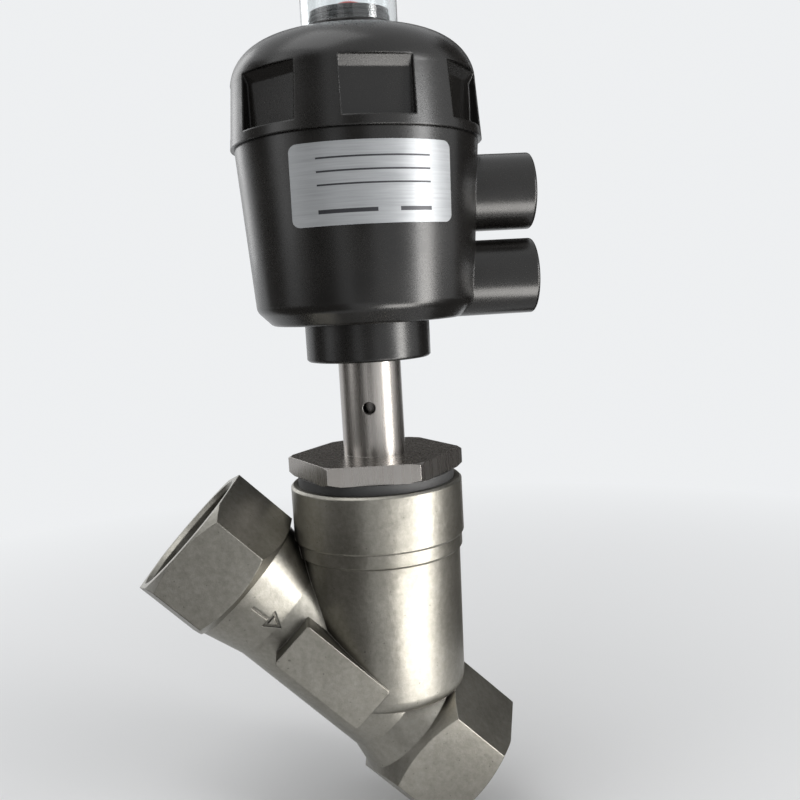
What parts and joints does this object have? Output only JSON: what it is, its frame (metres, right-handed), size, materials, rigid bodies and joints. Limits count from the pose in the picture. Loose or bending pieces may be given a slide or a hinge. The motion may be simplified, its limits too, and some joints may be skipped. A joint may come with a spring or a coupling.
{
  "type": "pneumatic angle seat valve",
  "caption": "Stainless angle seat valve with threaded pipe ends, closed by springs and opened by an air piston under a black plastic actuator that turns on its bonnet.",
  "frame": {"origin": "where the spindle's axis crosses the axis of the pipe run, inside the valve body", "axes": "+Z along the spindle towards the actuator, +X towards the outlet side and the air ports, -Y the side with the label and the flow arrow"},
  "size_m": [0.1111, 0.0652, 0.2374],
  "materials": {
    "cast_steel": "satin investment casting",
    "turned_steel": "turned",
    "spring_steel": "drawn wire",
    "gasket": "matt",
    "ptfe": "matt",
    "black_polyamide": "satin",
    "grey_polyamide": "matt",
    "rubber": "matt",
    "nickel_brass": "nickel plated",
    "label": "silver foil",
    "red_plastic": "gloss",
    "clear_plastic": "clear polycarbonate"
  },
  "bodies": {
    "body": {"valve_body": "cast_steel", "body_gasket": "gasket", "bonnet": "turned_steel", "gland_bush": "ptfe", "packing_support_ring": "ptfe", "packing_v_rings": "ptfe", "packing_washer": "turned_steel", "packing_spring": "spring_steel", "upper_guide_bush": "ptfe", "swivel_nut": "turned_steel", "swivel_washer": "turned_steel"},
    "actuator": {"actuator_housing": "black_polyamide", "actuator_cover": "black_polyamide", "cover_seal": "rubber", "cap_seal": "rubber", "air_port_insert_lower": "nickel_brass", "air_port_insert_upper": "nickel_brass", "rod_seal_carrier": "grey_polyamide", "rod_seal": "rubber", "swivel_seal": "rubber", "rating_label": "label", "outer_return_spring": "spring_steel", "inner_return_spring": "spring_steel"},
    "stem": {"spindle": "turned_steel", "disc_holder": "turned_steel", "disc_pin": "turned_steel", "disc_seal": "ptfe", "seal_retainer": "turned_steel", "retainer_screw": "turned_steel", "piston": "grey_polyamide", "piston_seal": "rubber", "piston_guide_ring": "ptfe", "piston_washer": "turned_steel", "piston_nut": "turned_steel", "indicator_rod": "red_plastic", "indicator_pin": "red_plastic"},
    "cap": {"indicator_cap": "clear_plastic"}
  },
  "joints": [
    {"name": "actuator_swivel", "type": "hinge", "parent": "body", "child": "actuator", "pos_m": [0, 0, 0.1], "axis": [0, 0, 1], "continuous": true},
    {"name": "stem_stroke", "type": "slide", "parent": "actuator", "child": "stem", "axis": [0, 0, 1], "range_m": [0, 0.012], "stiffness_N_per_m": 8000, "springref_m": -0.03, "deforming": ["outer_return_spring", "inner_return_spring"]},
    {"name": "cap_lift", "type": "slide", "parent": "actuator", "child": "cap", "axis": [0, 0, 1], "range_m": [0, 0.045]}
  ]
}
